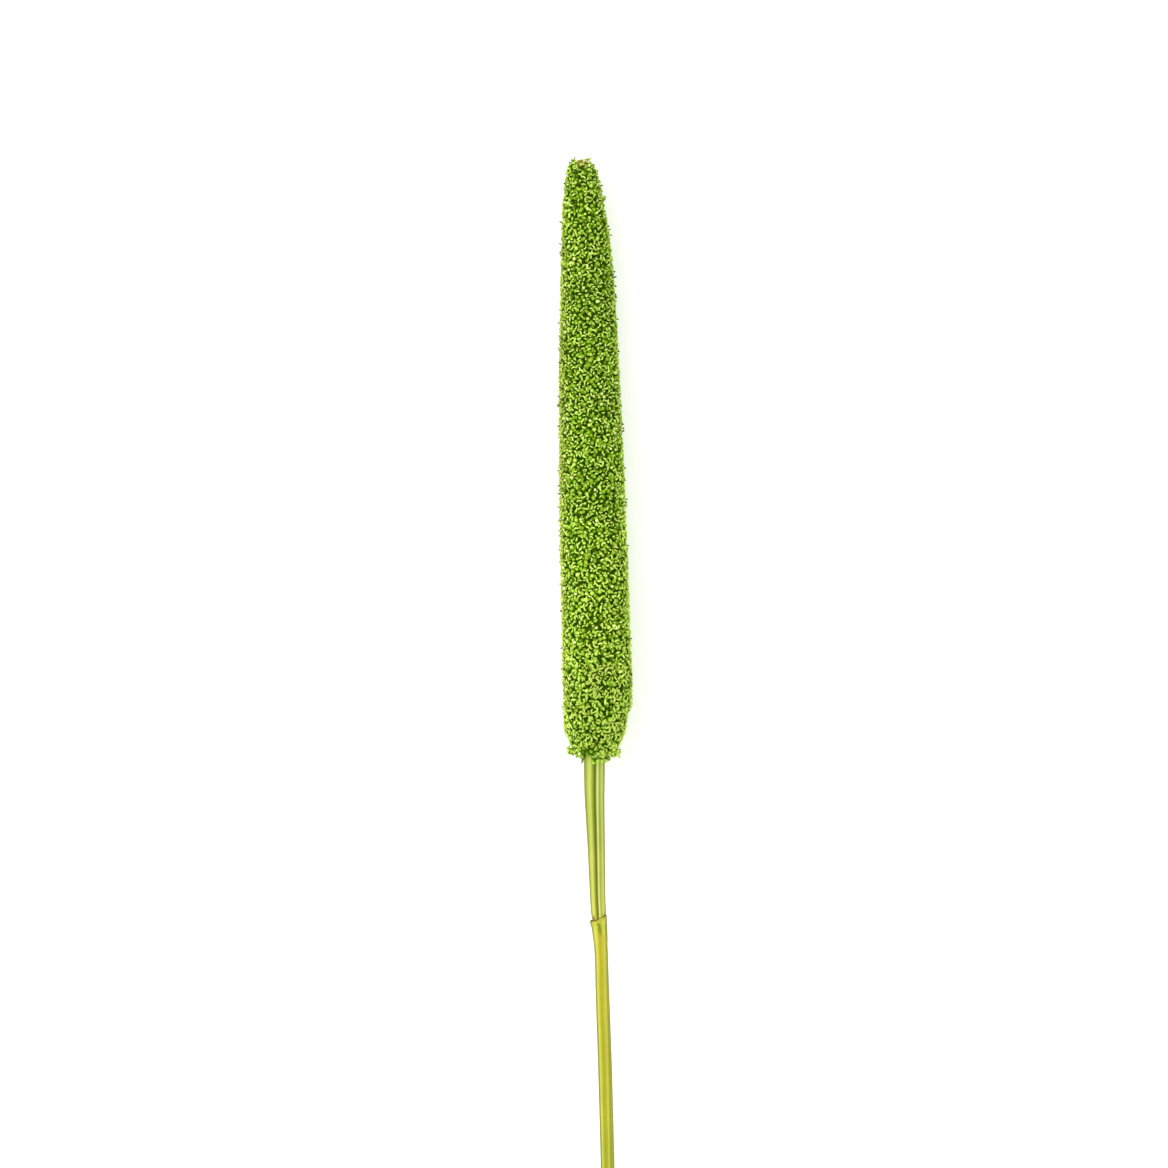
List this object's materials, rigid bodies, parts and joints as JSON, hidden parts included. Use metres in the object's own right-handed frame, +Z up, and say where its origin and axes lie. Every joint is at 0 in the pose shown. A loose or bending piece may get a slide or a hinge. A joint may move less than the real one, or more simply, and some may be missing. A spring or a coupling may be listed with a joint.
{
  "type": "cattail stalk",
  "caption": "Cut stalk of green cattail millet, lying down: a long, granular, club-shaped head on a slim, jointed stem with a groove along its upper stretch.",
  "frame": {"origin": "middle of the footprint of the part's box, on the surface that the stalk lies on", "axes": "+Y along the stalk towards the tip of the head, +X to the right of that seen from above, +Z up"},
  "size_m": [0.0272, 0.4002, 0.025],
  "materials": {
    "florets": "matt, fresh green, paler at the florets' tips",
    "stem_skin": "satin, yellow-green, lined lengthwise",
    "dry_sheath": "matt, straw with a brown edge"
  },
  "bodies": {
    "root": {"seed_head": "florets", "stem": "stem_skin", "leaf_sheath_stub": "dry_sheath"}
  },
  "joints": []
}
